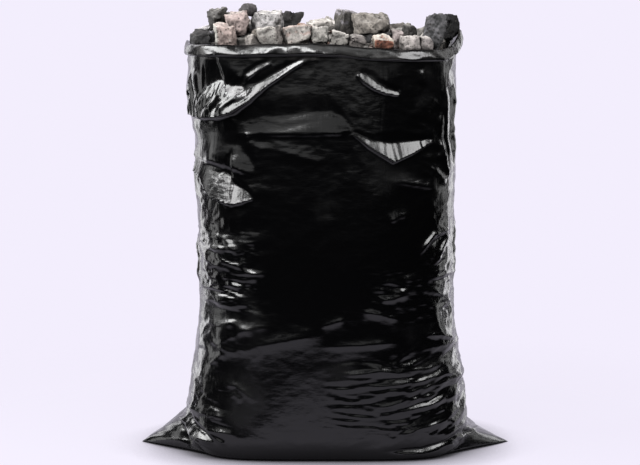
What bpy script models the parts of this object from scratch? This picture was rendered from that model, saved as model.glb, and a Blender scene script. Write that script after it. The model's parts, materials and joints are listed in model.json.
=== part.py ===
"""A black film sack, open at the mouth and filled to above the brim with broken stone and brick.

The film is one piece: a blown tube that lies flat as 0.54 m by 0.75 m, welded across its bottom
and standing on it, with the two pressed corners ("ears") of the weld sticking out at the sides and
the mouth turned over into a narrow hem. Inside lies the load: the packed rubble below the brim, as
one fused solid with the stones of its upper layer standing out of it, and on that the loose stones
of the heap, each its own solid, dropped one by one until it rests on what lies below.

Metres, +Z up, front to -Y. The origin is the middle of the bounding box's bottom.
"""

import math
import random

import bmesh
import bpy
import numpy as np
from mathutils import Euler, Vector
from mathutils.bvhtree import BVHTree

MM = 0.001

# The film, its width laid flat, and how finely it is drawn round the sack
FLAT_WIDTH = 0.540
FILM = 0.0008
COLUMNS = 60
SIDE_CROWDING = 0.42
NORMAL_STEP = 0.002

# Up the wall of the filled sack: height, half width, half depth, shift to the right, squareness
STATIONS = (
    (0.000, 0.1700, 0.1290, 0.0020, 4.2),
    (0.004, 0.1770, 0.1335, 0.0020, 4.0),
    (0.014, 0.1840, 0.1360, 0.0020, 3.6),
    (0.042, 0.1890, 0.1370, 0.0020, 3.1),
    (0.083, 0.1846, 0.1370, 0.0015, 2.7),
    (0.138, 0.1768, 0.1365, 0.0020, 2.6),
    (0.195, 0.1708, 0.1355, 0.0020, 2.5),
    (0.264, 0.1713, 0.1340, 0.0010, 2.5),
    (0.319, 0.1723, 0.1320, 0.0010, 2.5),
    (0.374, 0.1746, 0.1300, 0.0000, 2.5),
    (0.430, 0.1743, 0.1280, -0.0020, 2.4),
    (0.472, 0.1798, 0.1260, -0.0060, 2.4),
    (0.506, 0.1793, 0.1240, -0.0050, 2.4),
    (0.540, 0.1788, 0.1220, -0.0040, 2.4),
)
FOOT_INSET = 0.004
CHART_HEIGHT = 0.26
CHART_POINTS = 721
WALL_HEIGHTS = (0.004, 0.009, 0.016, 0.026, 0.040) + tuple(0.060 + 0.0205 * i for i in range(23))

# The mouth: its height by angle from the front's middle, in degrees to the right
MOUTH = (
    (-180, 0.547),
    (-140, 0.542),
    (-104, 0.544),
    (-92, 0.549),
    (-78, 0.545),
    (-45, 0.545),
    (-10, 0.547),
    (12, 0.545),
    (28, 0.541),
    (60, 0.538),
    (70, 0.540),
    (80, 0.551),
    (88, 0.564),
    (97, 0.556),
    (110, 0.542),
    (140, 0.541),
    (180, 0.547),
)
MOUTH_MEAN = 0.540
MOUTH_STARTS = 0.430
MOUTH_FLARE = 0.22
FLARE_STARTS = 0.506

# The hem, from its lower edge over the rim: height below the rim and stand out of the wall
HEM = ((0.0130, 0.0), (0.0104, 0.0026), (0.0039, 0.0026), (0.0, 0.0008), (0.0006, -FILM))

# The welded corners, pressed flat, that stick out past the body at the floor
EAR_HEIGHT = 0.042
EAR_HALF_DEPTH = 0.095
EAR_TOP_SHARE = 0.35
EAR_NARROWING = 1.2
EAR_SLOPE = 0.85
EAR_PINCH = 0.4
EAR_CURL = 0.023
EAR_LIFT = 0.0005

# Large folds of the film: (lift, spread above, spread below, path of (x or s, z)), in millimetres.
# A front fold's path is drawn as the front shows it, by x. A round fold's path is drawn by s, the
# distance round the wall from the front's middle, positive to the right. Each runs out at its ends.
FRONT_FOLDS = (
    (9.0, 30, 8, ((-183, 463), (-152, 448), (-116, 457), (-72, 488), (-17, 520))),
    (3.5, 12, 6, ((-128, 488), (-100, 500), (-65, 516))),
    (7.0, 20, 8, ((36, 432), (61, 412), (92, 394), (118, 404), (149, 422))),
    (4.5, 11, 7, ((42, 508), (65, 488), (103, 477))),
    (7.0, 26, 9, ((-174, 380), (-158, 356), (-144, 336), (-118, 338), (-92, 349))),
    (4.5, 9, 8, ((-158, 290), (-132, 279), (-104, 273))),
    (4.5, 8, 9, ((-156, 262), (-135, 256), (-110, 250))),
    (5.0, 11, 8, ((-152, 226), (-125, 214), (-96, 208))),
    (4.5, 8, 12, ((163, 315), (142, 294), (118, 266))),
    (4.0, 12, 9, ((-12, 112), (70, 118), (125, 124), (160, 146))),
    (4.0, 9, 9, ((20, 88), (82, 96), (145, 118))),
    (4.0, 10, 9, ((52, 70), (100, 78), (146, 92), (168, 112))),
    (3.5, 12, 14, ((-160, 92), (-118, 72), (-80, 52))),
)
ROUND_FOLDS = (
    (6.0, 16, 12, ((212, 505), (204, 440), (214, 372))),
    (5.0, 14, 12, ((-222, 420), (-214, 380), (-222, 330))),
    (8.0, 26, 9, ((300, 486), (350, 458), (400, 470), (450, 500))),
    (6.5, 22, 9, ((-330, 432), (-370, 404), (-420, 412))),
    (5.0, 12, 9, ((290, 330), (330, 312), (380, 306))),
    (5.0, 12, 9, ((-290, 268), (-340, 250), (-400, 246))),
    (5.0, 12, 9, ((280, 150), (350, 126), (430, 118), (500, 126))),
    (4.5, 10, 9, ((-290, 96), (-360, 82), (-450, 88))),
)
FOLD_ENDS = 0.06
FOLD_RUN_OUT = 0.7
FOLD_SHARPNESS = 1.5
FOLDS_START = 0.012
FOLDS_FULL = 0.042

# The load
FIT_GAP = 0.0004
RUBBLE_STAND_OFF = 0.0022
RUBBLE_FOOT_INSET = 0.010
RUBBLE_BRIM_INSET = 0.014
RUBBLE_TOP = 0.509
RUBBLE_TOP_RINGS = (1.0, 0.72, 0.44, 0.16)
RUBBLE_CROWN = 0.012
RUBBLE_FRONT_RISE = 0.018
RUBBLE_FRONT_FROM = 0.02
RUBBLE_FRONT_TO = 0.08
RUBBLE_COLUMNS = 30
RUBBLE_HEIGHTS = (0.012, 0.045, 0.090, 0.140, 0.200, 0.270, 0.340, 0.400, 0.440)
BURIED_ROWS = range(-2, 3)
BURIED_STEPS = range(-3, 4)
BURIED_ROOM = (0.145, 0.094, 2.5)
BURIED_PITCH = (0.050, 0.042)
BURIED_STRAY = 0.004
BURIED_SIZE = (0.044, 0.040, 0.044)
BURIED_DEPTHS = (0.002, 0.008)
BURIED_LEAN = 0.25
BURIED_TURN = 3.0

COLOURS = {
    "film": ((0.008, 0.008, 0.009), 0.16),
    "grey": ((0.250, 0.240, 0.230), 0.90),
    "dark": ((0.055, 0.055, 0.060), 0.85),
    "pink": ((0.460, 0.330, 0.300), 0.90),
    "pale": ((0.560, 0.540, 0.500), 0.95),
    "brick": ((0.400, 0.150, 0.090), 0.95),
    "fill": ((0.160, 0.145, 0.130), 0.95),
}

# Stones of the heap in the order in which they fall: kind, x, y, width, depth, height (mm), turn.
# The lower layer comes first, then the row along the front of the mouth, then those on top.
HEAP = (
    ("grey", -128, 58, 42, 38, 30, 20),
    ("pink", -78, 84, 42, 34, 30, 75),
    ("dark", -24, 88, 44, 36, 30, 5),
    ("grey", 30, 88, 42, 38, 32, 10),
    ("pale", 84, 80, 44, 36, 18, 50),
    ("dark", 128, 52, 40, 38, 22, 110),
    ("pale", -146, 10, 36, 38, 16, 65),
    ("grey", -88, 34, 44, 40, 22, 30),
    ("pink", -32, 42, 42, 40, 18, 95),
    ("grey", 24, 42, 42, 38, 18, 150),
    ("grey", 80, 32, 42, 40, 20, 15),
    ("pale", 142, 6, 36, 38, 28, 80),
    ("dark", -102, -4, 36, 32, 14, 120),
    ("grey", -54, -6, 42, 36, 27, 55),
    ("brick", -6, -6, 36, 32, 22, 5),
    ("grey", 50, -8, 38, 34, 17, 100),
    ("pale", 98, -14, 38, 34, 19, 25),
    ("grey", -103, -38, 30, 28, 14, 20),
    ("pale", -95, -90, 15, 16, 29, 15),
    ("pale", -74, -94, 30, 20, 25, 4),
    ("pink", -40, -93, 40, 20, 23, 3),
    ("brick", -13, -80, 15, 14, 15, 20),
    ("pale", -8, -103, 18, 12, 20, 172),
    ("pale", 15, -100, 20, 14, 20, 12),
    ("grey", 42, -101, 21, 16, 19, 2),
    ("brick", 75, -99, 26, 17, 15, 8),
    ("pale", 108, -88, 23, 17, 28, 6),
    ("pale", 131, -79, 18, 15, 26, 15),
    ("pink", -113, -35, 28, 26, 31, 10),
    ("pink", -128, -64, 27, 24, 37, 8),
    ("pale", -158, -10, 26, 28, 9, 15),
    ("dark", -164, -18, 26, 30, 23, 5),
    ("grey", -83, -66, 22, 18, 34, 20),
    ("grey", 4, -52, 34, 28, 15, 145),
    ("dark", 66, -60, 40, 24, 18, 5),
    ("dark", -40, -50, 32, 26, 17, 35),
    ("dark", 148, -44, 25, 30, 48, 5),
    ("dark", 167, 0, 21, 30, 33, 5),
    ("pale", -159, 19, 32, 26, 28, 10),
    ("grey", -134, 12, 34, 30, 18, 45),
    ("grey", -142, -12, 23, 22, 25, 20),
    ("pale", -80, -29, 39, 28, 28, 3),
    ("brick", -31, -56, 13, 14, 12, 30),
    ("pale", -9, -50, 32, 22, 13, 8),
    ("grey", 31, -22, 28, 26, 38, 290),
    ("grey", 61, -58, 49, 34, 27, 3),
    ("pink", 92, -53, 15, 26, 27, 8),
    ("grey", 108, -24, 17, 20, 14, 50),
    ("dark", -46, 20, 26, 26, 20, 15),
    ("dark", -104, -32, 14, 14, 12, 35),
    ("pink", -98, 62, 36, 30, 16, 100),
    ("grey", 58, 50, 36, 32, 12, 140),
    ("pale", 0, 66, 36, 32, 14, 25),
    ("brick", 104, 54, 30, 28, 9, 75),
    ("dark", -48, 70, 28, 26, 16, 10),
    ("pink", -4, 32, 24, 22, 8, 60),
    ("grey", 138, 36, 26, 24, 14, 5),
    ("grey", 108, 10, 22, 20, 10, 130),
)
KIND_NAMES = {
    "grey": "grey_stone",
    "dark": "dark_stone",
    "pink": "pink_stone",
    "pale": "pale_lump",
    "brick": "brick_bit",
}

# How a stone is chipped: its count of flat breaks, how far from its middle they are as a share of
# its reach, and the length of the slivers that are lost
CHIPS = 9
CHIP_REACH = (0.66, 0.88)
SLIVER = 0.09

# How a stone finds its rest; it may stray by WANDER of its least size
PILE_FROM = 0.40
DROP_FROM = 0.64
DROP_STEP = 0.004
ROLLS = 700
WANDER = 0.18
LEAN = math.radians(15)
SLIP = 0.0035
ROCK = math.radians(6)
CLEARANCE = 0.00035


def clear_scene():
    for thing in list(bpy.data.objects):
        bpy.data.objects.remove(thing, do_unlink=True)


def new_collection(name):
    made = bpy.data.collections.new(name)
    bpy.context.scene.collection.children.link(made)
    return made


def new_material(name, colour, roughness):
    made = bpy.data.materials.new(name)
    made.use_nodes = True
    shader = made.node_tree.nodes["Principled BSDF"]
    shader.inputs["Base Color"].default_value = (*colour, 1.0)
    shader.inputs["Roughness"].default_value = roughness
    shader.inputs["Metallic"].default_value = 0.0
    return made


def new_object(name, shape, collection, material):
    """The object for a finished bmesh, which this frees."""
    mesh = bpy.data.meshes.new(name)
    shape.to_mesh(mesh)
    shape.free()
    mesh.materials.append(material)
    made = bpy.data.objects.new(name, mesh)
    collection.objects.link(made)
    return made


def share_between(low, high, at):
    """0 at low and below, 1 at high and above, and a smooth step between."""
    share = min(max((at - low) / (high - low), 0.0), 1.0)
    return share * share * (3 - 2 * share)


def eased(rows, at, column):
    """A column of rows, whose first entries rise, read at a value with a smooth curve through them."""
    starts = [row[0] for row in rows]
    index = int(np.clip(np.searchsorted(starts, at, side="right") - 1, 0, len(rows) - 2))
    share = min(max((at - starts[index]) / (starts[index + 1] - starts[index]), 0.0), 1.0)
    low, high = rows[index][column], rows[index + 1][column]
    slope_in = (high - rows[max(index - 1, 0)][column]) / 2
    slope_out = (rows[min(index + 2, len(rows) - 1)][column] - low) / 2
    square, cube = share**2, share**3
    return (
        (2 * cube - 3 * square + 1) * low
        + (cube - 2 * square + share) * slope_in
        + (3 * square - 2 * cube) * high
        + (cube - square) * slope_out
    )


def column_angles(count):
    """Angles round the sack from the front's middle, closer together at the sides."""
    even = np.arange(count) * 2 * math.pi / count - math.pi
    return even + SIDE_CROWDING * np.sin(2 * even) / 2


def section_point(angle, height, inset=0.0):
    """A point of the filled sack's plain wall, without folds, an inset inside it."""
    width = eased(STATIONS, height, 1) - inset
    depth = eased(STATIONS, height, 2) - inset
    shift = eased(STATIONS, height, 3)
    squareness = eased(STATIONS, height, 4)
    across, along = math.sin(angle), -math.cos(angle)
    reach = (abs(across / width) ** squareness + abs(along / depth) ** squareness) ** (-1 / squareness)
    return Vector((shift + reach * across, reach * along, height))


def wall_chart():
    """(angles, distance s round the wall, x) at mid height, to draw folds by distance or by x."""
    angles = np.linspace(-math.pi, math.pi, CHART_POINTS)
    points = np.array([section_point(angle, CHART_HEIGHT) for angle in angles])
    steps = np.linalg.norm(np.diff(points, axis=0), axis=1)
    round_it = np.concatenate([[0.0], np.cumsum(steps)])
    return angles, round_it - round_it[len(round_it) // 2], points[:, 0]


CHART_ANGLES, CHART_S, CHART_X = wall_chart()
FRONT = np.abs(CHART_ANGLES) <= math.pi / 2
ROUND_LENGTH = CHART_S[-1] - CHART_S[0]


def front_path(path):
    """A path drawn by x on the front, as distances round the wall and heights, in metres."""
    return [(float(np.interp(x * MM, CHART_X[FRONT], CHART_S[FRONT])), z * MM) for x, z in path]


def round_path(path):
    return [(s * MM, z * MM) for s, z in path]


def fold_lift(round_at, height, size, path):
    """How far one fold stands out of the wall at a point: a crest along its path that runs out at
    the ends, with its own spread above and below."""
    lift, above, below = (value * MM for value in size)
    spans = [math.dist(a, b) for a, b in zip(path, path[1:])]
    total, done, best = sum(spans), 0.0, math.inf
    for (start, end), span in zip(zip(path, path[1:]), spans):
        along = (end[0] - start[0], end[1] - start[1])
        away = round_at - start[0]
        away -= ROUND_LENGTH * round(away / ROUND_LENGTH)
        share = (away * along[0] + (height - start[1]) * along[1]) / span**2
        share = min(max(share, 0.0), 1.0)
        off = (away - share * along[0], height - start[1] - share * along[1])
        distance = math.hypot(*off)
        if distance < best:
            best = distance
            place = (done + share * span) / total
            spread = above if off[1] > 0 else below
        done += span
    along_it = math.sin(math.pi * (FOLD_ENDS + (1 - 2 * FOLD_ENDS) * place)) ** FOLD_RUN_OUT
    return lift * along_it * math.exp(-((best / spread) ** FOLD_SHARPNESS))


FOLDS = [(size, front_path(path)) for *size, path in FRONT_FOLDS]
FOLDS += [(size, round_path(path)) for *size, path in ROUND_FOLDS]


def wall_normal(angle, height):
    before, after = (section_point(angle + step, height) for step in (-NORMAL_STEP, NORMAL_STEP))
    round_it = after - before
    up_it = section_point(angle, height + NORMAL_STEP)
    up_it -= section_point(angle, max(height - NORMAL_STEP, 0.0))
    return round_it.cross(up_it).normalized()


def mouth_rise(angle, height):
    """How far a point near the mouth is lifted or lowered to follow the uneven edge."""
    rise = eased(MOUTH, math.degrees(angle), 1) - MOUTH_MEAN
    return rise * share_between(MOUTH_STARTS, MOUTH_MEAN, height)


def wall_point(angle, height, inset):
    """A point of the folded wall, an inset inside its outer face."""
    plain = section_point(angle, height)
    normal = wall_normal(angle, height)
    round_at = float(np.interp(angle, CHART_ANGLES, CHART_S))
    stand = sum(fold_lift(round_at, height, size, path) for size, path in FOLDS)
    stand *= share_between(FOLDS_START, FOLDS_FULL, height)
    rise = mouth_rise(angle, height)
    flare = max(rise, 0.0) * MOUTH_FLARE * share_between(FLARE_STARTS, MOUTH_MEAN, height)
    return plain + normal * (stand + flare - inset) + Vector((0, 0, rise))


def ear_point(point, angle):
    """A point of the outer wall drawn out to the side where it belongs to a pressed corner."""
    height, foot = point.z, WALL_HEIGHTS[0]
    if height >= EAR_HEIGHT:
        return point
    low_down = 1 - (height - foot) / (EAR_HEIGHT - foot)
    half_depth = EAR_HALF_DEPTH * (EAR_TOP_SHARE + (1 - EAR_TOP_SHARE) * low_down)
    share = max(0.0, 1.0 - abs(point.y) / half_depth) ** EAR_NARROWING
    tip = FLAT_WIDTH / 2 - EAR_CURL
    reach = math.copysign((tip - abs(point.x)) * share * low_down**EAR_SLOPE, math.sin(angle))
    pinched = point.y * (1 - EAR_PINCH * share * low_down)
    return Vector((point.x + reach, pinched, max(height - foot * share, EAR_LIFT)))


def ring(shape, points):
    return [shape.verts.new(point) for point in points]


def bridge(shape, low, high):
    """Quads between two rings of the same count."""
    for index, vertex in enumerate(low):
        after = (index + 1) % len(low)
        shape.faces.new((vertex, low[after], high[after], high[index]))


def film_sack(collection):
    """The film: up its outer wall from the flat bottom, over the hem, and down its inner wall."""
    angles = column_angles(COLUMNS)
    shape = bmesh.new()
    foot = [section_point(angle, 0.0) for angle in angles]
    rings = [ring(shape, foot)]
    rings += [
        ring(shape, [ear_point(wall_point(angle, height, 0.0), angle) for angle in angles])
        for height in WALL_HEIGHTS
    ]
    rings += [
        ring(shape, [wall_point(angle, MOUTH_MEAN - below, -stand) for angle in angles])
        for below, stand in HEM
    ]
    rings += [
        ring(shape, [wall_point(angle, height, FILM) for angle in angles])
        for height in reversed(WALL_HEIGHTS[1:])
    ]
    floor = [section_point(angle, 0.0, FOOT_INSET) + Vector((0, 0, FILM)) for angle in angles]
    rings.append(ring(shape, floor))
    for low, high in zip(rings, rings[1:]):
        bridge(shape, low, high)
    shape.faces.new(list(reversed(rings[0])))
    shape.faces.new(rings[-1])
    made = new_object("film_sack", shape, collection, new_material("film", *COLOURS["film"]))
    made.data.shade_smooth()
    made.data.set_sharp_from_angle(angle=math.radians(50))
    return made


def stone_shape(width, depth, height, seed):
    """A block with its corners and edges knocked off by flat breaks, of the size given."""
    dice = random.Random(seed)
    shape = bmesh.new()
    bmesh.ops.create_cube(shape, size=1.0)
    for _ in range(CHIPS):
        away = Vector((dice.gauss(0, 1), dice.gauss(0, 1), dice.gauss(0, 1))).normalized()
        reach = max(vertex.co.dot(away) for vertex in shape.verts)
        bmesh.ops.bisect_plane(
            shape,
            geom=shape.verts[:] + shape.edges[:] + shape.faces[:],
            plane_co=away * reach * dice.uniform(*CHIP_REACH),
            plane_no=away,
            clear_outer=True,
        )
        rim = [edge for edge in shape.edges if edge.is_boundary]
        bmesh.ops.holes_fill(shape, edges=rim, sides=0)
    bmesh.ops.remove_doubles(shape, verts=shape.verts[:], dist=SLIVER)
    bmesh.ops.delete(shape, geom=shape.faces[:] + shape.edges[:], context="EDGES_FACES")
    hull = bmesh.ops.convex_hull(shape, input=shape.verts[:])
    spare = [part for part in hull["geom_interior"] if isinstance(part, bmesh.types.BMVert)]
    bmesh.ops.delete(shape, geom=spare, context="VERTS")
    for axis, size in enumerate((width, depth, height)):
        low = min(vertex.co[axis] for vertex in shape.verts)
        high = max(vertex.co[axis] for vertex in shape.verts)
        for vertex in shape.verts:
            vertex.co[axis] = ((vertex.co[axis] - low) / (high - low) - 0.5) * size
    bmesh.ops.recalc_face_normals(shape, faces=shape.faces[:])
    return shape


def points_and_faces(shape):
    shape.verts.index_update()
    points = np.array([vertex.co for vertex in shape.verts])
    return points, [[vertex.index for vertex in face.verts] for face in shape.faces]


def tree_of(points, faces):
    return BVHTree.FromPolygons(points.tolist(), faces)


class Pile:
    """What stones can land on: surfaces, each with its box."""

    def __init__(self):
        self.surfaces = []

    def add(self, points, faces):
        self.surfaces.append((tree_of(points, faces), points.min(axis=0), points.max(axis=0)))

    def touches(self, points, faces):
        low, high = points.min(axis=0), points.max(axis=0)
        near = [tree for tree, least, most in self.surfaces if (least < high).all() and (most > low).all()]
        if not near:
            return False
        stone = tree_of(points, faces)
        return any(stone.overlap(tree) for tree in near)


def settle(pile, points, faces, place, turn, seed):
    """Lowers a stone onto the pile, then shakes it by small slips and turns so that it works down."""
    dice = random.Random(seed)
    size = np.ptp(points, axis=0)
    grown = points * (1 + 2 * CLEARANCE / size.min())
    pose = (*place, DROP_FROM, 0.0, 0.0, turn)

    def free(x, y, z, *lean):
        turned = np.array(Euler(lean).to_matrix())
        return not pile.touches(grown @ turned.T + (x, y, z), faces)

    while free(*pose[:2], pose[2] - DROP_STEP, *pose[3:]):
        pose = (*pose[:2], pose[2] - DROP_STEP, *pose[3:])
    for roll in range(ROLLS):
        ease = 1 - 0.8 * roll / ROLLS
        x, y = (pose[i] + dice.gauss(0, SLIP) * ease for i in (0, 1))
        lean = [pose[i] + dice.gauss(0, ROCK) * ease for i in (3, 4, 5)]
        lower = pose[2] - dice.uniform(-0.25, 1.0) * DROP_STEP * ease
        strayed = math.hypot(x - place[0], y - place[1]) > WANDER * size.min()
        tipped = max(abs(lean[0]), abs(lean[1]), abs(lean[2] - turn)) > LEAN
        if not strayed and not tipped and free(x, y, lower, *lean):
            pose = (x, y, lower, *lean)
    step = DROP_STEP
    while step > CLEARANCE / 4:
        if free(*pose[:2], pose[2] - step, *pose[3:]):
            pose = (*pose[:2], pose[2] - step, *pose[3:])
        else:
            step /= 2
    return Vector(pose[:3]), Euler(pose[3:])


def load_room(x, y):
    """0 at the middle of the load and 1 where its outermost buried stones can stand."""
    half_width, half_depth, squareness = BURIED_ROOM
    return (abs(x) / half_width) ** squareness + (abs(y) / half_depth) ** squareness


def load_level(x, y):
    """The height of the packed rubble's top, which crowns a little and is higher at the front."""
    room = load_room(x, y)
    front = share_between(RUBBLE_FRONT_FROM, RUBBLE_FRONT_TO, -y)
    return RUBBLE_TOP + RUBBLE_CROWN * max(0.0, 1 - room) + RUBBLE_FRONT_RISE * front


def packed_rubble(collection, helpers):
    """The load below the heap as one solid: a filled loft with stones standing out of its top."""
    angles = np.arange(RUBBLE_COLUMNS) * 2 * math.pi / RUBBLE_COLUMNS - math.pi
    inset = FILM + RUBBLE_STAND_OFF
    lift = Vector((0, 0, FILM + FIT_GAP))
    shape = bmesh.new()
    rings = [ring(shape, [section_point(angle, 0.0, RUBBLE_FOOT_INSET) + lift for angle in angles])]
    rings += [
        ring(shape, [section_point(angle, height, inset) for angle in angles])
        for height in RUBBLE_HEIGHTS
    ]
    brim = [section_point(angle, RUBBLE_TOP, RUBBLE_BRIM_INSET) for angle in angles]
    for share in RUBBLE_TOP_RINGS:
        spots = [(point.x * share, point.y * share) for point in brim]
        rings.append(ring(shape, [Vector((*spot, load_level(*spot))) for spot in spots]))
    for lower, upper in zip(rings, rings[1:]):
        bridge(shape, lower, upper)
    shape.faces.new(list(reversed(rings[0])))
    shape.faces.new(rings[-1])
    made = new_object("packed_rubble", shape, collection, new_material("fill", *COLOURS["fill"]))
    dice = random.Random(7)
    for row in BURIED_ROWS:
        for step in BURIED_STEPS:
            x = (step + 0.5 * (row % 2)) * BURIED_PITCH[0] + dice.uniform(-BURIED_STRAY, BURIED_STRAY)
            y = row * BURIED_PITCH[1] + dice.uniform(-BURIED_STRAY, BURIED_STRAY)
            if load_room(x, y) > 1:
                continue
            size = [edge * dice.uniform(0.86, 1.1) for edge in BURIED_SIZE]
            stone = new_object(
                f"buried_{row}_{step}", stone_shape(*size, dice.random()), helpers, made.active_material
            )
            stone.location = (x, y, load_level(x, y) - dice.uniform(*BURIED_DEPTHS))
            lean = [dice.uniform(-BURIED_LEAN, BURIED_LEAN) for _ in range(2)]
            stone.rotation_euler = (*lean, dice.uniform(0, BURIED_TURN))
            stone.hide_render = True
            stone.display_type = "WIRE"
    union = made.modifiers.new("buried_stones", "BOOLEAN")
    union.operation = "UNION"
    union.solver = "EXACT"
    union.operand_type = "COLLECTION"
    union.collection = helpers
    return made


def world_surface(thing, above=-1.0):
    """(points, faces) of an object as evaluated, keeping the faces that reach over a height."""
    graph = bpy.context.evaluated_depsgraph_get()
    mesh = thing.evaluated_get(graph).to_mesh()
    points = np.array([thing.matrix_world @ vertex.co for vertex in mesh.vertices])
    faces = [list(face.vertices) for face in mesh.polygons]
    thing.evaluated_get(graph).to_mesh_clear()
    return points, [face for face in faces if points[face][:, 2].max() > above]


def trimmed(points, faces):
    """The surface without the points that no face uses."""
    used = sorted({index for face in faces for index in face})
    place = {index: order for order, index in enumerate(used)}
    return points[used], [[place[index] for index in face] for face in faces]


def heap(collection, ground):
    """The loose stones, in order, each settled on what lies there already."""
    bpy.context.view_layer.update()
    pile = Pile()
    for thing in ground:
        pile.add(*trimmed(*world_surface(thing, above=PILE_FROM)))
    paints = {kind: new_material(KIND_NAMES[kind], *COLOURS[kind]) for kind in KIND_NAMES}
    counts = dict.fromkeys(KIND_NAMES, 0)
    stones = []
    for order, (kind, x, y, width, depth, height, turn) in enumerate(HEAP):
        counts[kind] += 1
        shape = stone_shape(width * MM, depth * MM, height * MM, 100 + order)
        points, faces = points_and_faces(shape)
        place, lean = settle(pile, points, faces, (x * MM, y * MM), math.radians(turn), 1300 + order)
        stone = new_object(f"{KIND_NAMES[kind]}_{counts[kind]:02d}", shape, collection, paints[kind])
        stone.location = place
        stone.rotation_euler = lean
        pile.add(points @ np.array(lean.to_matrix()).T + np.array(place), faces)
        stones.append(stone)
    return stones


def centre_on_origin(things):
    """Sets the whole on an empty, so that the middle of the box's bottom is the origin."""
    bpy.context.view_layer.update()
    points = np.concatenate([world_surface(thing)[0] for thing in things])
    low, high = points.min(axis=0), points.max(axis=0)
    base = bpy.data.objects.new("sack_base", None)
    bpy.context.scene.collection.objects.link(base)
    for thing in things:
        thing.parent = base
    base.location = (-(low[0] + high[0]) / 2, -(low[1] + high[1]) / 2, -low[2])


def main():
    clear_scene()
    parts = new_collection("full_sack")
    helpers = new_collection("buried_stones")
    film = film_sack(parts)
    rubble = packed_rubble(parts, helpers)
    stones = heap(parts, (film, rubble))
    centre_on_origin([film, rubble, *stones])
    bpy.context.view_layer.update()


main()
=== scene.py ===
"""A full bin bag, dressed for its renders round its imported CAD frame.

An open black film sack is heaped with broken stone and brick. The film is one crumpled sheet over
the frame's filled form. The stones are the frame's, rough-broken, in the same places but for one
that is nestled deeper, and small crumbs lie in the gaps.

Metres, +Z up, the sack's front to -Y.
"""

import json
import math
import random

import bmesh
import bpy
import numpy as np
from bpy.props import FloatProperty, FloatVectorProperty, IntProperty, PointerProperty
from mathutils import Matrix, Vector, noise
from mathutils.bvhtree import BVHTree

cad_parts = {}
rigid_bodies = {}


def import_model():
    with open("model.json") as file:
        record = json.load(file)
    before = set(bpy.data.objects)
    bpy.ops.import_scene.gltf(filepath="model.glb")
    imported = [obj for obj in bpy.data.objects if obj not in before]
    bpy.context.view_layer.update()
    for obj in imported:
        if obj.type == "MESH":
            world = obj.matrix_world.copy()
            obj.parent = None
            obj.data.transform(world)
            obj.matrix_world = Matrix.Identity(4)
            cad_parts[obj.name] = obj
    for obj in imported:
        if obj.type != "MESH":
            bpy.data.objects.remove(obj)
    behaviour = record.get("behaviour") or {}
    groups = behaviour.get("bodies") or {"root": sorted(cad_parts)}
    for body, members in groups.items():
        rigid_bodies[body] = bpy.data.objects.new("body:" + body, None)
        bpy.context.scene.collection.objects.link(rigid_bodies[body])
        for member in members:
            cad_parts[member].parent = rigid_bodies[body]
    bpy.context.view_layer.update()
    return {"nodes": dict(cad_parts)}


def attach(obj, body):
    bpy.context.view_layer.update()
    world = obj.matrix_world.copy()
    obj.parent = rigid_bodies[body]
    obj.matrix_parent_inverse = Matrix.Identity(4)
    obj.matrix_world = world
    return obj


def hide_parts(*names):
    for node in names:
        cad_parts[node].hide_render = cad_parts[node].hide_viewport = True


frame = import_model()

bl_info = {
    "name": "Full bin bag",
    "version": (1, 0, 0),
    "blender": (4, 5, 0),
    "location": "View3D > Sidebar > Bin bag",
    "description": "Makes a black film sack heaped with broken stone, and its studio",
    "category": "Add Mesh",
}

BODY = "root"
MM = 0.001

# ---- the filled form

# Up the wall of the filled sack: height, half width, half depth, shift to the right, squareness
STATIONS = (
    (0.000, 0.1700, 0.1290, 0.0020, 4.2),
    (0.004, 0.1770, 0.1335, 0.0020, 4.0),
    (0.014, 0.1840, 0.1360, 0.0020, 3.6),
    (0.042, 0.1890, 0.1370, 0.0020, 3.1),
    (0.083, 0.1846, 0.1370, 0.0015, 2.7),
    (0.138, 0.1768, 0.1365, 0.0020, 2.6),
    (0.195, 0.1708, 0.1355, 0.0020, 2.5),
    (0.264, 0.1713, 0.1340, 0.0010, 2.5),
    (0.319, 0.1723, 0.1320, 0.0010, 2.5),
    (0.374, 0.1746, 0.1300, 0.0000, 2.5),
    (0.430, 0.1743, 0.1280, -0.0020, 2.4),
    (0.472, 0.1798, 0.1260, -0.0060, 2.4),
    (0.506, 0.1793, 0.1240, -0.0050, 2.4),
    (0.540, 0.1788, 0.1220, -0.0040, 2.4),
)
CHART_HEIGHT = 0.26
CHART_POINTS = 721

# How far the frame's sack stands from one drawn about its own middle line
FRAME_OFFSET = (0.0, -0.00043, 0.0)

# How far the film tucks in under the sack, and from what height
TUCK, TUCK_TOP = 0.0075, 0.032

# The mouth: its height by angle from the front's middle, in degrees to the right
MOUTH = (
    (-180, 0.547), (-140, 0.542), (-104, 0.544), (-92, 0.549), (-78, 0.545), (-45, 0.545),
    (-10, 0.547), (12, 0.545), (28, 0.541), (60, 0.538), (70, 0.540), (80, 0.551),
    (88, 0.564), (97, 0.556), (110, 0.542), (140, 0.541), (180, 0.547),
)
MOUTH_MEAN = 0.540
MOUTH_STARTS = 0.430

# Where the mouth rises it leans out by this share, from this height and fully after this rise
MOUTH_FLARE, FLARE_STARTS, FLARE_OVER = 0.22, 0.506, 0.034

# The welded corners that stick out at the floor, left and right: the height of the ridge, falling
# from the body, by the share of its reach
EAR_TIP = 0.252
EAR_FOOT = 0.004
EAR_RIDGES = (
    ((0.004, 1.0), (0.0075, 0.93), (0.012, 0.85), (0.0155, 0.77), (0.0235, 0.57), (0.033, 0.37),
     (0.039, 0.24), (0.0445, 0.10), (0.047, 0.0)),
    ((0.004, 1.0), (0.0065, 0.93), (0.0115, 0.76), (0.0190, 0.53), (0.0245, 0.33), (0.0285, 0.26),
     (0.0300, 0.12), (0.031, 0.0)),
)

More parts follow.
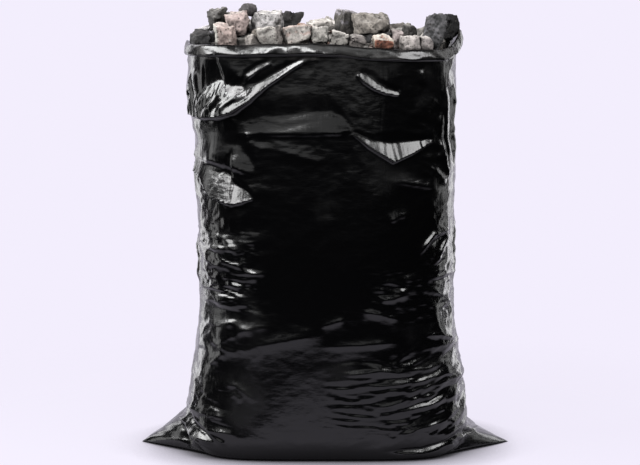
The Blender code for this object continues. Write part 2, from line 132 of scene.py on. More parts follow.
# At a corner's foot and ridge: its half depth, the sharpness of its outline, and how they change
EAR_HALF_DEPTHS, EAR_DEPTH_TAPER = (0.088, 0.052), 0.6
EAR_POWERS, EAR_POWER_TAPER = (1.0, 2.4), 0.35
EAR_PINCH = 0.4
EAR_CRINKLE, EAR_CRINKLE_TALL, EAR_CRINKLE_LONG = 0.0022, 0.011, 0.03

# The hem and the film inside the mouth: height, stand out of the wall, in millimetres
HEM = (
    (525.0, 0.2), (525.1, 2.2), (525.4, 4.2), (526.6, 5.4), (529.0, 5.2), (532.0, 4.2),
    (535.2, 3.1), (538.0, 1.9), (539.6, 0.7), (540.2, -0.6), (539.4, -1.7), (536.0, -2.3),
    (530.0, -2.5), (518.0, -2.6), (504.0, -2.6),
)
HEM_STARTS, HEM_OVER = 0.5248, 0.002

# Ripples round the sack: (share or millimetres, how many round it, height of each, seed)
HEM_WAVER = ((0.35, 24, 0.02, 71), (0.2, 70, 0.006, 72))
HEM_SWAY = ((1.1, 30, 0.03, 73), (0.25, 90, 0.02, 74))
SWELL = ((0.9, 9, 0.16, 23),)


def smooth_step(x):
    x = np.clip(x, 0.0, 1.0)
    return x * x * (3 - 2 * x)


def between(x, low, high, edge):
    """1 from low to high and 0 outside them, with soft edges of that width."""
    return smooth_step((x - low) / edge + 0.5) * smooth_step((high - x) / edge + 0.5)


def eased(rows, at, column):
    """A column of rows whose first entries rise, read at each value along a smooth curve."""
    table = np.array(rows, float)
    starts, values = table[:, 0], table[:, column]
    last = len(starts) - 1
    index = np.clip(np.searchsorted(starts, at, side="right") - 1, 0, last - 1)
    share = np.clip((at - starts[index]) / (starts[index + 1] - starts[index]), 0.0, 1.0)
    low, high = values[index], values[index + 1]
    slope_in = (high - values[np.maximum(index - 1, 0)]) / 2
    slope_out = (values[np.minimum(index + 2, last)] - low) / 2
    square, cube = share**2, share**3
    return (
        (2 * cube - 3 * square + 1) * low
        + (cube - 2 * square + share) * slope_in
        + (3 * square - 2 * cube) * high
        + (cube - square) * slope_out
    )


def section(angle, height):
    """The filled sack's plain wall and its outward directions, from above: x, y, nx, ny."""
    width, depth, shift, squareness = (eased(STATIONS, height, column) for column in (1, 2, 3, 4))
    across, along = np.sin(angle), -np.cos(angle)
    squared = abs(across / width) ** squareness + abs(along / depth) ** squareness
    reach = squared ** (-1 / squareness)
    x, y = reach * across, reach * along
    nx = np.sign(x) * (abs(x) / width) ** (squareness - 1) / width
    ny = np.sign(y) * (abs(y) / depth) ** (squareness - 1) / depth
    length = np.hypot(nx, ny)
    return x + shift, y, nx / length, ny / length


def wall_chart():
    """(angles, distance round the wall, x) at mid height, to draw folds by distance or by x."""
    angles = np.linspace(-math.pi, math.pi, CHART_POINTS)
    x, y, _, _ = section(angles, np.full_like(angles, CHART_HEIGHT))
    steps = np.hypot(np.diff(x), np.diff(y))
    round_it = np.concatenate([[0.0], np.cumsum(steps)])
    return angles, round_it - round_it[len(round_it) // 2], x


CHART_ANGLES, CHART_S, CHART_X = wall_chart()
FRONT = np.abs(CHART_ANGLES) <= math.pi / 2
ROUND_LENGTH = CHART_S[-1] - CHART_S[0]


# ---- folds and wrinkles of the film

# Ledges: planes that stand out of the wall and end at a crest. Each is (slope, drop, lift of the
# gathers on it, place along it from which strands run its way, path of (x, z, height of the plane
# above the crest)), drawn as the front shows it, in millimetres.
LEDGES = (
    (0.33, 2.2, 3.0, 0.40,
     ((-186, 467, 6), (-170, 453, 16), (-155, 447, 34), (-135, 450, 46), (-118, 455, 42),
      (-95, 470, 20), (-72, 488, 9), (-43, 506, 7), (-17, 520, 4))),
    (0.34, 2.2, 1.4, 0.10, ((-105, 487, 4), (-98, 499, 6), (-85, 508, 6), (-69, 516, 4))),
    (0.34, 2.2, 1.7, 2.00,
     ((38, 432, 3), (61, 412, 11), (92, 393, 26), (117, 403, 17), (147, 420, 3))),
    (0.34, 2.2, 1.4, 0.30,
     ((50, 505, 7), (60, 495, 12), (72, 488, 10), (88, 482, 8), (108, 479, 6))),
    (0.31, 3.0, 0.0, 2.00,
     ((-171, 388, 6), (-162, 370, 20), (-148, 346, 40), (-122, 336, 36), (-92, 346, 5))),
    (0.12, 4.0, 0.0, 2.00,
     ((-120, 430, 14), (-80, 431, 22), (-30, 431, 25), (20, 432, 26), (40, 437, 12))),
    (0.13, 4.0, 0.0, 2.00, ((-176, 400, 8), (-150, 394, 28), (-120, 386, 30), (-92, 376, 8))),
)

# The share of each ledge behind the plain wall, its share of run-out, and how sharply it falls
LEDGE_SUNK, LEDGE_ENDS, LEDGE_FALL = 0.35, 0.05, 1.6

# Ledges steeper than this draw the film below them up
DRAWING_SLOPE = 0.2

# The gathers that run down a ledge and the strands that run along it, in metres
PLEAT_WIDTH, PLEAT_LENGTH = 0.0095, 0.060
STRAND_WIDTH, STRAND_LENGTH, STRANDS_OVER = 0.0080, 0.070, 0.2

# How far gathers stand out, the height of a ledge with full ones, and their reach in its heights
GATHER_CREST, GATHER_TALL, GATHER_REACH = 0.4, 0.012, 1.4

# How far below a crest, in drops, the film is drawn up, and how far below that it recovers
SHELF, RECOVERY = 1.5, 3.0

# Creases: (lift, spread above, spread below, then x and z of each point of its path), in
# millimetres, drawn as the front shows it.
FRONT_CREASES = (
    (1.6, 3, 2, -163, 452, -156, 468, -149, 490),
    (-1.7, 4, 4, -157, 450, -146, 468, -137, 492),
    (1.7, 4, 3, -152, 449, -138, 472, -128, 500),
    (-2.0, 4, 4, -147, 449, -128, 472, -112, 496),
    (1.7, 4, 3, -141, 451, -116, 474, -92, 494),
    (-1.7, 4, 3, -135, 453, -106, 472, -78, 490),
    (1.1, 10, 6, -122, 418, -59, 409, 6, 391),
    (1.0, 12, 7, -159, 403, -124, 392, -104, 380),
    (1.8, 5, 5, -180, 431, -162, 435),
    (2.6, 7, 7, 139, 387, 146, 378, 159, 360),
    (1.9, 7, 4, 80, 370, 117, 364, 156, 353),
    (3.0, 6, 5, 159, 476, 155, 443, 155, 403, 161, 369),
    (1.8, 4, 4, 136, 515, 135, 492),
    (2.8, 6, 3, -156, 285, -145, 278, -124, 278, -108, 271),
    (2.0, 4, 3, -159, 294, -135, 292, -116, 282),
    (3.2, 7, 3, -161, 262, -145, 256, -116, 252),
    (2.0, 4, 3, -147, 267, -122, 259, -104, 257),
    (2.4, 5, 3, -127, 247, -100, 247, -72, 249),
    (1.8, 3, 3, -134, 240, -110, 239, -80, 242),
    (2.4, 4, 3, -131, 231, -116, 230, -95, 235),
    (2.0, 4, 3, -154, 230, -141, 226, -128, 224),
    (3.2, 7, 3, -150, 207, -122, 203, -98, 206),
    (1.8, 3, 3, -154, 214, -122, 214, -98, 215),
    (2.4, 7, 4, -159, 178, -138, 178, -108, 184),
    (4.0, 22, 12, -150, 142, -122, 162, -92, 178, -59, 179),
    (3.2, 18, 12, -120, 140, -82, 155, -33, 165, 8, 172),
    (4.2, 4, 4, 166, 304, 142, 296, 131, 283, 119, 266),
    (3.4, 3, 3, 163, 300, 153, 277, 143, 250),
    (3.0, 3, 3, 141, 244, 151, 248, 161, 250),
    (2.2, 6, 4, 82, 314, 97, 323, 112, 325),
    (2.2, 5, 4, 98, 239, 113, 239, 128, 240),
    (2.6, 6, 4, 64, 211, 87, 215, 110, 221),
    (2.6, 6, 4, 42, 200, 71, 195, 99, 186),
    (1.8, 6, 4, -10, 179, 27, 190),
    (2.0, 5, 4, 88, 223, 123, 231),
    (2.2, 8, 4, -10, 153, 45, 155, 99, 158),
    (2.8, 8, 4, 4, 111, 58, 120, 118, 120, 153, 126),
    (2.8, 7, 4, -9, 93, 45, 101, 97, 102, 150, 112, 179, 120),
    (3.0, 7, 4, 23, 79, 79, 92, 113, 94, 150, 102, 183, 111),
    (1.8, 5, 3, -9, 106, 32, 109, 73, 112),
    (2.6, 6, 4, 43, 66, 81, 76, 99, 81, 139, 88),
    (2.8, 6, 4, 62, 55, 81, 65, 99, 68, 136, 75, 169, 86),
    (2.4, 8, 5, 82, 31, 110, 42, 145, 52),
    (4.0, 10, 3, 121, 164, 145, 163, 167, 152),
    (2.6, 12, 6, 95, 142, 137, 149, 175, 148),
    (3.0, 8, 6, 148, 73, 164, 99, 178, 112),
    (3.0, 7, 6, 156, 40, 167, 66, 180, 90),
    (1.8, 5, 5, -117, 92, -102, 79),
    (2.0, 5, 4, -168, 64, -151, 59, -115, 55),
    (1.4, 6, 4, -137, 149, -109, 141),
    (1.6, 6, 5, -129, 101, -111, 99, -97, 87, -82, 78),
    (1.8, 6, 4, -154, 38, -121, 37, -105, 34),
    (3.0, 6, 4, -160, 29, -142, 25, -126, 20),
)

# Creases of the sides and the back, by distance round the wall from the front's middle.
ROUND_CREASES = (
    (3.0, 5, 4, 232, 12, 206, 8, 170, 7, 120, 4),
    (6.0, 16, 12, 212, 505, 204, 440, 214, 372),
    (3.0, 10, 9, -222, 420, -214, 380, -222, 330),
    (4.0, 5, 6, -214, 512, -205, 476, -214, 440),
    (3.0, 4, 5, -196, 512, -192, 486, -186, 470),
    (3.5, 5, 5, -232, 300, -216, 262, -224, 210),
    (4.0, 5, 5, 186, 505, 183, 440, 190, 380, 184, 352),
    (3.5, 4, 5, 170, 415, 176, 392, 186, 366),
    (3.5, 5, 5, 226, 330, 214, 280, 222, 220),
    (8.0, 26, 9, 300, 486, 350, 458, 400, 470, 450, 500),
    (6.5, 22, 9, -330, 432, -370, 404, -420, 412),
    (5.0, 12, 9, 290, 330, 330, 312, 380, 306),
    (5.0, 12, 9, -290, 268, -340, 250, -400, 246),
    (5.0, 12, 9, 280, 150, 350, 126, 430, 118, 500, 126),
    (4.5, 10, 9, -290, 96, -360, 82, -450, 88),
    (2.6, 6, 4, -250, 300, -285, 292, -330, 301),
    (2.6, 6, 4, 240, 262, 290, 250, 345, 258),
    (2.4, 5, 4, -240, 180, -280, 168, -330, 172),
    (2.6, 6, 4, 230, 96, 280, 84, 340, 90),
    (2.6, 5, 4, 400, 260, 440, 246, 490, 252),
    (2.6, 5, 4, -400, 330, -440, 316, -490, 322),
    (2.6, 5, 4, -380, 200, -420, 186, -480, 190),
    (2.8, 7, 4, -230, 60, -290, 50, -350, 56),
)

# Folds at the corners, by distance round the wall: the left one's rolled collar between grooves,
# the right one's loop, and the seam fold along the foot.
EAR_FOLDS = (
    (-6.0, 3, 3, -262, 44, -240, 42, -210, 36, -198, 27, -193, 20, -184, 9, -172, 2),
    (6.5, 6, 6, -255, 50, -233, 47, -206, 41, -191, 32, -170, 24, -149, 15, -128, 4),
    (-6.5, 3, 3, -225, 58, -205, 54, -188, 48, -180, 42, -163, 37, -148, 32, -126, 20),
    (3.5, 3, 2, -156, 38, -143, 31, -134, 26, -120, 20),
    (4.5, 3, 3, 190, 24, 204, 30, 221, 32, 233, 30, 250, 26),
    (-5.0, 2.5, 2.5, 184, 29, 195, 26, 205, 24, 220, 23),
    (4.5, 3, 3, 172, 19, 186, 21, 198, 22, 211, 24, 226, 25),
    (-5.0, 4, 4, 60, 14, 89, 15, 117, 16, 135, 20, 155, 24, 179, 31, 196, 38),
    (2.6, 5, 3, 70, 8, 95, 8, 118, 8, 146, 9, 172, 12, 191, 16, 210, 19),
)

CREASE_POWER, CREASE_ENDS = 1.15, 0.30

# Regions of fine ruckles that run one way: (x range, z range, soft edge, tilt, sag, cell along,
# cell across, lift), in millimetres, where tilt is the rise to the right and sag bows the lines.
RUCKLES = (
    ((-166, -92), (196, 300), 30, -0.16, 0.0, 70, 8.0, 2.6),
    ((10, 200), (48, 132), 44, 0.10, 0.0010, 70, 9.0, 2.4),
    ((60, 178), (180, 250), 40, -0.02, 0.0006, 50, 12.0, 1.6),
    ((84, 200), (20, 150), 40, 0.42, 0.0, 56, 12.0, 1.8),
    ((-200, -120), (40, 100), 40, -0.22, 0.0, 60, 10.0, 1.4),
    ((-130, 60), (392, 470), 40, -0.06, 0.0, 90, 15.0, 0.45),
)

# The even crumple: (lift in millimetres, cells round the sack, height of a cell, seed)
CRUMPLES = ((2.7, 18, 0.040, 11), (1.3, 40, 0.016, 17), (0.45, 86, 0.008, 19))

# Where the film lies calm: (distances round the wall, soft edge, heights, soft edge)
CALM_ZONES = (
    (-0.095, 0.135, 0.06, 0.02, 0.60, 0.08),
    (-0.14, 0.06, 0.06, -0.05, 0.14, 0.05),
    (-0.20, 0.19, 0.05, 0.487, 0.56, 0.02),
)
CALM, FACE_CALM = 0.82, 0.93

# The heights at which the body's folds and the corners' start, and over what rise
FOLDS_START, FOLDS_OVER = 0.003, 0.022
EAR_FOLDS_START, EAR_FOLDS_OVER = 0.0008, 0.005


def front_round(x):
    """Distances round the wall of places drawn by x on the front, in metres."""
    return np.interp(np.asarray(x) * MM, CHART_X[FRONT], CHART_S[FRONT])


def front_line(path):
    """A path drawn by x and z on the front, as distances round the wall and heights."""
    return np.stack([front_round(path[:, 0]), path[:, 1] * MM], axis=1)


def nearest_on(s, z, path):
    """For each point: its distance to a path, whether it is above it, the place along it from 0 to
    1, and the path's own index."""
    spans = np.hypot(*np.diff(path, axis=0).T)
    total, done = spans.sum(), 0.0
    best = np.full(s.shape, np.inf)
    side, place, at = np.zeros(s.shape), np.zeros(s.shape), np.zeros(s.shape)
    for index, span in enumerate(spans):
        start, along = path[index], path[index + 1] - path[index]
        away = s - start[0]
        away = away - ROUND_LENGTH * np.round(away / ROUND_LENGTH)
        up = z - start[1]
        share = np.clip((away * along[0] + up * along[1]) / span**2, 0.0, 1.0)
        far = np.hypot(away - share * along[0], up - share * along[1])
        closer = far < best
        best = np.where(closer, far, best)
        side = np.where(closer, along[0] * up - along[1] * away, side)
        place = np.where(closer, (done + share * span) / total, place)
        at = np.where(closer, index + share, at)
        done += span
    return best, side > 0, place, at


def run_out(place, share):
    """1 along most of a fold, falling to 0 over that share at each end."""
    return smooth_step(place / share) * smooth_step((1 - place) / share)


def ledge(s, z, slope, drop, gather, strands_from, path):
    """How far a ledge stands out, how far the film under it is drawn up, and where its face is."""
    path = np.array(path, float)
    line = front_line(path)
    far, above, place, at = nearest_on(s, z, line)
    tall = np.interp(at, np.arange(len(path)), path[:, 2]) * MM
    crest = 1 - LEDGE_SUNK
    rise = np.where(far < tall, crest - far / tall, -LEDGE_SUNK * smooth_step(2 - far / tall))
    fall = crest * np.exp(-((far / (drop * MM)) ** LEDGE_FALL))
    length = np.hypot(*np.diff(line, axis=0).T).sum()
    pleats = ripple(s / PLEAT_WIDTH, z / PLEAT_LENGTH, 61)
    strands = ripple(place * length / STRAND_LENGTH, far / STRAND_WIDTH, 62)
    along = smooth_step((place - strands_from) / STRANDS_OVER)
    gathers = gather * MM * (GATHER_CREST - abs(pleats + (strands - pleats) * along))
    gathers = gathers * smooth_step(tall / GATHER_TALL) * smooth_step(GATHER_REACH - far / tall)
    ends = run_out(place, LEDGE_ENDS)
    shelf = SHELF * drop * MM
    drawn = np.minimum(far, shelf) * np.clip(1 - (far - shelf) / (RECOVERY * shelf), 0.0, 1.0)
    face = above * smooth_step(2 - far / tall) * ends
    stand = (slope * tall * np.where(above, rise, fall) + gathers * above) * ends
    return stand, drawn * ~above * ends, face


def creases(s, z, rows, depth, line_of):
    """How far a table's creases stand out of the wall: sharp crests that run out at the ends."""
    stand = np.zeros(s.shape)
    for lift, above_mm, below_mm, *flat in rows:
        line = line_of(np.array(flat, float).reshape(-1, 2))
        far, above, place, _ = nearest_on(s, z, line)
        spread = np.where(above, above_mm, below_mm) * MM
        crest = np.exp(-((far / spread) ** CREASE_POWER))
        stand += lift * depth * MM * crest * run_out(place, CREASE_ENDS)
    return stand


def ripple(u, v, seed, around=0):
    """Smooth noise from about -1 to 1 with a period of one, closed after that many cells of u."""
    tall = 512
    wide = around or tall
    turn = np.random.default_rng(seed).uniform(0, 2 * math.pi, (wide, tall))
    low_u, low_v = np.floor(u).astype(int), np.floor(v).astype(int)
    part_u, part_v = u - low_u, v - low_v
    ease_u, ease_v = (t**3 * (t * (6 * t - 15) + 10) for t in (part_u, part_v))

    def corner(du, dv):
        way = turn[(low_u + du) % wide, (low_v + dv) % tall]
        return np.cos(way) * (part_u - du) + np.sin(way) * (part_v - dv)

    low = corner(0, 0) * (1 - ease_u) + corner(1, 0) * ease_u
    high = corner(0, 1) * (1 - ease_u) + corner(1, 1) * ease_u
    return 1.5 * (low * (1 - ease_v) + high * ease_v)


def ripples(rows, turns, height):
    """A table's ripples together, by turns round the sack and height."""
    return sum(
        lift * ripple(turns * cells, height / tall, seed, cells) for lift, cells, tall, seed in rows
    )


def crumple(turns, z, cells, tall, seed):
    """Creased film: flat facets that meet in sharp lines, with that many cells round the sack."""
    u, v = turns * cells, z / tall
    bend = 0.45 * ripple(u / 2, v / 2, seed + 1, cells // 2)
    return 0.45 - abs(ripple(u + bend, v + bend, seed, cells))


def ruckle(s, z, x_range, z_range, edge, tilt, sag, along, across, lift, seed):
    """Fine folds that all run one way, within a soft-edged region of the front."""
    low, high = (float(front_round(x)) for x in x_range)
    middle = (low + high) / 2
    away = (s - middle) / MM
    rise = z / MM - tilt * away - sag * away**2
    drift = ripple(away / 90, z / MM / 60, seed + 3)
    folds = ripple(away / along + 0.4 * drift, rise / across + 1.2 * drift, seed)
    fine = ripple(away / along * 1.7, rise / across * 2.1, seed + 1)
    lines = (0.42 - abs(folds)) + 0.4 * (0.42 - abs(fine))
    where = between(s, low, high, edge * MM) * between(z / MM, *z_range, edge)
    return lift * MM * lines * where


def folds_of(s, z, depth):
    """How far all the folds make the film stand out of the plain wall, and draw it up."""
    stand, drawn, faces = np.zeros(s.shape), np.zeros(s.shape), np.zeros(s.shape)
    for slope, *rest in LEDGES:
        out, up, face = ledge(s, z, slope * depth, *rest)
        stand += out
        drawn += up * (slope > DRAWING_SLOPE)
        faces = np.maximum(faces, face)
    stand += creases(s, z, FRONT_CREASES, depth, front_line)
    stand += creases(s, z, ROUND_CREASES, depth, lambda path: path * MM)
    for order, region in enumerate(RUCKLES):
        stand += ruckle(s, z, *region, seed=40 + 5 * order) * depth
    zones = [
        between(s, left, right, side_edge) * between(z, low, high, edge)
        for left, right, side_edge, low, high, edge in CALM_ZONES
    ]
    calm = (1 - CALM * np.max(zones, axis=0)) * (1 - FACE_CALM * faces)
    turns = s / ROUND_LENGTH + 0.5
    for lift, *cells in CRUMPLES:
        stand += lift * MM * calm * crumple(turns, z, *cells)
    stand += ripples(SWELL, turns, z) * MM
    stand *= smooth_step((z - FOLDS_START) / FOLDS_OVER)
    pressed = creases(s, z, EAR_FOLDS, depth, lambda path: path * MM)
    return stand + pressed * smooth_step((z - EAR_FOLDS_START) / EAR_FOLDS_OVER), drawn


# ---- the film

COLUMNS = 344

# Rows across the foot by share of the way out, then up the wall by height, and even from there
FOOT_SHARES = (0.0, 0.35, 0.7, 0.9, 0.975)
FOOT_HEIGHTS = (0.0, 0.0012, 0.0026, 0.0040, 0.0053)
FOOT_FROM, FOOT_TOP, FOOT_ROWS = 0.0066, 0.050, 34
WALL_TOP, WALL_ROWS = 0.5240, 222

# How much closer together the columns are across the front, and how far round
FRONT_CROWDING, FRONT_REACH, FRONT_EDGE = 1.5, 0.262, 8


def column_places():
    """Distances round the wall from the back seam, closer together across the front."""
    even = np.linspace(CHART_S[0], CHART_S[-1], 4001)
    density = 1 + FRONT_CROWDING * np.exp(-((np.abs(even) / FRONT_REACH) ** FRONT_EDGE))
    reached = np.concatenate([[0.0], np.cumsum((density[1:] + density[:-1]) / 2)])
    return np.interp(np.linspace(0, reached[-1], COLUMNS + 1), reached, even)


def film_rows():
    """The film's rows from the foot's middle into the mouth: height, stand, share out."""
    low = np.linspace(FOOT_FROM, FOOT_TOP, FOOT_ROWS, endpoint=False)
    wall = (*FOOT_HEIGHTS, *low, *np.linspace(FOOT_TOP, WALL_TOP, WALL_ROWS))
    rows = [(0.0, 0.0, share) for share in FOOT_SHARES] + [(height, 0.0, 1.0) for height in wall]
    return np.array(rows + [(height * MM, stand * MM, 1.0) for height, stand in HEM])


def drawn_to_ears(x, y, z):
    """Points of the outer wall drawn out to the side where they belong to a pressed corner."""
    left, right = (np.interp(z, *zip(*ridge)) for ridge in EAR_RIDGES)
    tall = np.where(x < 0, EAR_RIDGES[0][-1][0], EAR_RIDGES[1][-1][0])
    up = np.clip((z - EAR_FOOT) / (tall - EAR_FOOT), 0.0, 1.0)
    tapers = ((EAR_HALF_DEPTHS, EAR_DEPTH_TAPER), (EAR_POWERS, EAR_POWER_TAPER))
    half_depth, power = (foot + (top - foot) * up**taper for (foot, top), taper in tapers)
    share = np.clip(1 - (abs(y) / half_depth) ** power, 0.0, None) * smooth_step(z / EAR_FOOT)
    reach = (EAR_TIP - abs(x)) * share * np.where(x < 0, left, right)
    low = z - EAR_FOOT * share * (z / EAR_FOOT).clip(0, 1) * (z < tall)
    side = np.sign(x)
    along = (abs(y) + reach) / EAR_CRINKLE_LONG
    crinkle = 0.4 - abs(ripple(z / EAR_CRINKLE_TALL + 3 * side, along, 91))
    crinkle = EAR_CRINKLE * crinkle * smooth_step(2.5 * share) * smooth_step(z / 0.008) * (z < tall)
    return x + side * reach, y * (1 - EAR_PINCH * share * (1 - up)) - crinkle, low + 0.6 * crinkle


def film_points(across, up, settings):
    """The film's points for places across and up its flat grid, both from 0 to 1."""
    s = np.interp(across, np.linspace(0, 1, COLUMNS + 1), column_places())
    angle = np.interp(s, CHART_S, CHART_ANGLES)
    rows = film_rows()
    steps = np.linspace(0, 1, len(rows))
    height, stand, share = (np.interp(up, steps, rows[:, column]) for column in (0, 1, 2))
    x, y, nx, ny = section(angle, height)
    in_hem = smooth_step((height - HEM_STARTS) / HEM_OVER) * (stand != 0)
    turns = s / ROUND_LENGTH + 0.5
    lift, drawn = folds_of(s, height, settings.fold_depth)
    lift += stand * np.where(stand > 0, 1 + ripples(HEM_WAVER, turns, height), 1.0)
    rise = eased(MOUTH, np.degrees(angle), 1) - MOUTH_MEAN
    rise = rise * smooth_step((height - MOUTH_STARTS) / (MOUTH_MEAN - MOUTH_STARTS))
    sway = ripples(HEM_SWAY, turns, height) * MM
    flare = MOUTH_FLARE * smooth_step((height - FLARE_STARTS) / FLARE_OVER)
    tuck = TUCK * np.clip(1 - height / TUCK_TOP, 0.0, 1.0) ** 2
    out = (lift + np.maximum(rise, 0.0) * flare - tuck) * share
    x, y = x * share + nx * out, y * share + ny * out
    z = height + rise + sway * in_hem + drawn
    outer = share > 0.999
    drawn_out = zip(drawn_to_ears(x, y, z), (x, y, z))
    return np.stack([np.where(outer, new, old) for new, old in drawn_out], axis=1)


def linked(name, data):
    """A new object in the scene."""
    made = bpy.data.objects.new(name, data)
    bpy.context.scene.collection.objects.link(made)
    return made


def shaped(name, shape, material):
    """The object for a finished bmesh, which this frees."""
    mesh = bpy.data.meshes.new(name)
    shape.to_mesh(mesh)
    shape.free()
    mesh.materials.append(material)
    return linked(name, mesh)


def placed(name, shape, material, *nodes, slot=None):
    """The object for a finished bmesh, riding on the sack's one body."""
    made = shaped(name, shape, material)
    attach(made, BODY)
    if nodes:
        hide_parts(*nodes)
    return made


def make_film(settings):
    """The crumpled sack as one sheet of film, closed at the foot and turned in at the mouth."""
    shape = bmesh.new()
    segments = {"x_segments": COLUMNS, "y_segments": len(film_rows()) - 1}
    bmesh.ops.create_grid(shape, size=1.0, **segments)
    flat = (np.array([vertex.co[:2] for vertex in shape.verts]) + 1) / 2
    points = film_points(flat[:, 0], flat[:, 1], settings) + np.array(FRAME_OFFSET)
    for vertex, point in zip(shape.verts, points.tolist()):
        vertex.co = point
    bmesh.ops.remove_doubles(shape, verts=shape.verts[:], dist=1e-6)
    bmesh.ops.recalc_face_normals(shape, faces=shape.faces[:])
    made = placed("film", shape, film_material(settings), "film_sack", slot="film")
    made.data.shade_smooth()
    return made


# ---- stones

KIND_COLOURS = {
    "grey_stone": (0.26, 0.245, 0.23),
    "dark_stone": (0.07, 0.067, 0.070),
    "pink_stone": (0.56, 0.44, 0.40),
    "pale_lump": (0.56, 0.52, 0.49),
    "brick_bit": (0.25, 0.145, 0.112),
}

# Stones with colours of their own, and the second colour of some: (colour, the way that the sides
# with it face, how squarely they have to). On some stones the second colour is a real second face;
# on others it is painted shade on the sides turned from the lamps, and on two painted light on the
# sides facing them.
STONE_COLOURS = {
    "dark_stone_04": (0.06, 0.058, 0.06),
    "pale_lump_12": (0.5, 0.48, 0.51),
    "grey_stone_13": (0.15, 0.144, 0.14),
    "pink_stone_05": (0.6, 0.48, 0.44),
    "pink_stone_04": (0.65, 0.525, 0.495),
    "dark_stone_10": (0.12, 0.108, 0.112),
    "pale_lump_13": (0.7, 0.67, 0.665),
    "dark_stone_09": (0.045, 0.042, 0.042),
    "grey_stone_10": (0.24, 0.212, 0.184),
    "brick_bit_05": (0.24, 0.215, 0.2),
    "pink_stone_07": (0.22, 0.2, 0.19),
    "pink_stone_08": (0.3, 0.265, 0.25),
    "pale_lump_05": (0.49, 0.45, 0.42),
    "pale_lump_06": (0.42, 0.38, 0.355),
    "pink_stone_03": (0.56, 0.44, 0.4),
    "brick_bit_04": (0.38, 0.2, 0.13),
    "pale_lump_14": (0.6, 0.56, 0.52),
    "brick_bit_02": (0.09, 0.032, 0.03),
    "pale_lump_07": (0.62, 0.59, 0.55),
    "pale_lump_08": (0.62, 0.59, 0.55),
    "grey_stone_14": (0.15, 0.14, 0.13),
    "grey_stone_15": (0.32, 0.29, 0.26),
    "grey_stone_09": (0.29, 0.262, 0.25),
    "brick_bit_03": (0.64, 0.56, 0.48),
    "pink_stone_06": (0.46, 0.39, 0.38),
    "grey_stone_16": (0.165, 0.155, 0.15),
    "pale_lump_09": (0.52, 0.475, 0.455),
    "pale_lump_10": (0.5, 0.455, 0.44),
    "dark_stone_07": (0.14, 0.136, 0.144),
    "dark_stone_08": (0.014, 0.013, 0.015),
}
SECOND_FACES_AND_PAINTED_LIGHT = {
    # painted shade on the side away from the lamps
    "dark_stone_04": ((0.02, 0.02, 0.02), (1, 0, -0.2), 0.75),
    # painted shade on the underside
    "grey_stone_13": ((0.06, 0.055, 0.05), (0.6, -0.5, -1), 0.3),
    "pink_stone_05": ((0.82, 0.79, 0.73), (-1, -0.1, 0.1), 0.45),
    # painted shade on the underside
    "pale_lump_13": ((0.22, 0.20, 0.19), (0.5, -0.1, -1), 0.62),
    # painted light on the side toward the lamps
    "pale_lump_06": ((0.60, 0.57, 0.53), (-0.6, -1, 0.4), 0.6),
    "pink_stone_03": ((0.74, 0.69, 0.64), (0, -0.2, -1), 0.1),
    # painted light on the top
    "grey_stone_14": ((0.30, 0.28, 0.31), (0, -0.3, 1), 0.55),
    "brick_bit_03": ((0.46, 0.200, 0.140), (0.15, -1, -0.1), 0.72),
    # painted shade on the underside
    "dark_stone_07": ((0.06, 0.06, 0.062), (0.4, -0.6, -1), 0.4),
}
NO_SECOND = ((0, 0, 0), (0, 0, 1), 2.0)

# Stones that stand on one corner only, nestled between those below: (growth, moved by, in mm)
NESTLED = {"dark_stone_10": (1.3, 0.5, -3.0, -5.5)}

STONE_TONE = 0.31
STONE_CELL, STONE_SLACK, STONE_ROUNDS = 0.0021, 1.35, 6

# How far stones are smoothed, and how far that moves a worn arris, as a share of a cell
STONE_SMOOTHING, ARRIS = 0.18, 0.085

# The sizes of the breaks in a stone's faces, and of the flats that it splits along
LARGE_BREAK, SMALL_BREAK, GRIT, SPLIT = 0.011, 0.0042, 0.0018, 0.013
JOG_SHIFTS = (Vector((0.3, 0.7, 0.1)), Vector((31.4, 7.2, 15.9)), Vector((12.7, 41.3, 23.6)))

# Angles past which shading breaks
STONE_SHARP, FILL_SHARP = math.radians(40), math.radians(50)

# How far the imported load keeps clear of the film's folds, below its top
FILL_EASE, FILL_EASE_TOP, FILL_EASE_OVER = 0.008, 0.50, 0.04

# The load's broken top: how far down, its cell, the rounds of cutting, and how rough
FILL_BROKEN, FILL_CELL, FILL_ROUNDS, FILL_GRAIN = 0.075, 0.004, 4, 0.0009

CRUMB_KINDS = ("pale_lump", "pale_lump", "grey_stone", "pink_stone", "brick_bit", "dark_stone")
CRUMB_TRIES, CRUMB_STEEPEST, CRUMB_SMALLEST = 12, 0.55, 0.0016

# Crumbs along the front, one in so many, and elsewhere: (widest angle, highest place, most growth)
FRONT_SHARE = 3
FRONT_CRUMBS, OTHER_CRUMBS = (1.1, 0.548, 0.0062), (math.pi, 0.545, 0.0042)


def cut_down(shape, longest, rounds, lowest=0.0):
    """Halves a shape's long edges above a height, in so many rounds."""
    bmesh.ops.triangulate(shape, faces=shape.faces[:])
    for _ in range(rounds):
        long = [edge for edge in shape.edges if edge.calc_length() > longest]
        long = [edge for edge in long if min(end.co.z for end in edge.verts) >= lowest]
        if not long:
            break
        bmesh.ops.subdivide_edges(shape, edges=long, cuts=1)
        bmesh.ops.triangulate(shape, faces=[face for face in shape.faces if len(face.verts) > 3])


def copied(node):
    """A bmesh of a CAD node with its loose triangles joined."""
    shape = bmesh.new()
    shape.from_mesh(frame["nodes"][node].data)
    bmesh.ops.remove_doubles(shape, verts=shape.verts[:], dist=1e-5)
    return shape


def jog_at(spot):
    """A smooth random vector at a spot, the same on every run, with parts from about -1 to 1."""
    return Vector([noise.noise(spot + shift) for shift in JOG_SHIFTS])


